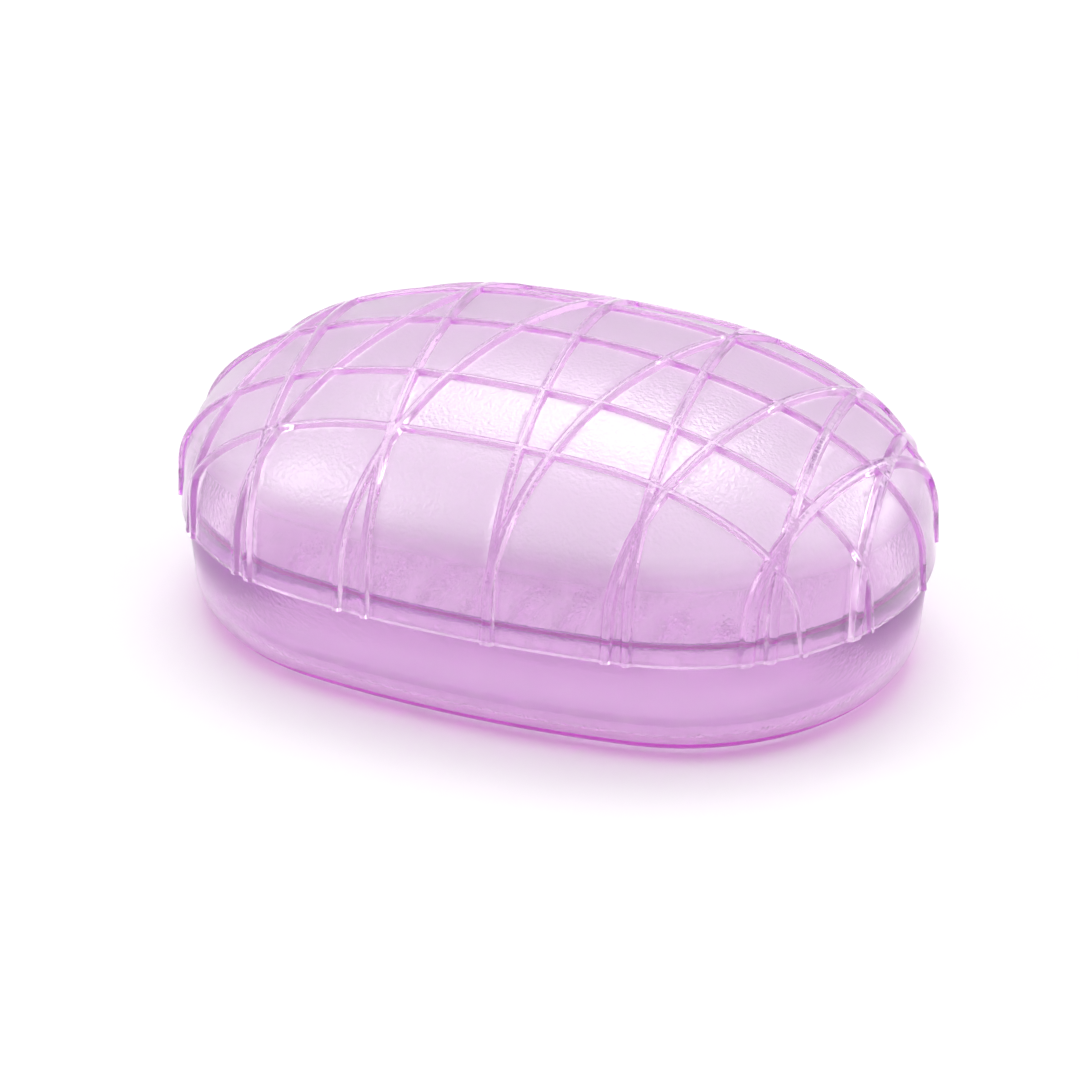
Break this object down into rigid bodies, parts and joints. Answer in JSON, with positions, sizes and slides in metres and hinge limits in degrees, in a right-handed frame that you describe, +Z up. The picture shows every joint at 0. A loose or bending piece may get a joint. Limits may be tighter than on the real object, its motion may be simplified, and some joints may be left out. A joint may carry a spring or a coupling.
{
  "type": "soap dish",
  "caption": "Oval travel soap dish of translucent lilac plastic: shallow base tub, lift-out slotted drain tray and a tall domed lift-off lid with a raised rib lattice.",
  "frame": {"origin": "middle of the flat underside of the base", "axes": "+X along the length, +Y across the width towards the back, +Z up"},
  "size_m": [0.111, 0.0755, 0.0457],
  "materials": {
    "base_plastic": "satin moulded translucent lilac plastic, inside lightly frosted",
    "tray_plastic": "satin moulded translucent pale lilac plastic",
    "lid_plastic": "translucent lilac plastic, glossy ribs over a fine satin grain"
  },
  "bodies": {
    "base": {"base_tub": "base_plastic"},
    "tray": {"drain_tray": "tray_plastic"},
    "lid": {"lid_shell": "lid_plastic"}
  },
  "joints": [
    {"name": "lid_lift", "type": "slide", "parent": "base", "child": "lid", "axis": [0, 0, 1], "range_m": [0, 0.06]},
    {"name": "tray_lift", "type": "slide", "parent": "base", "child": "tray", "axis": [0, 0, 1], "range_m": [0, 0.012]}
  ]
}
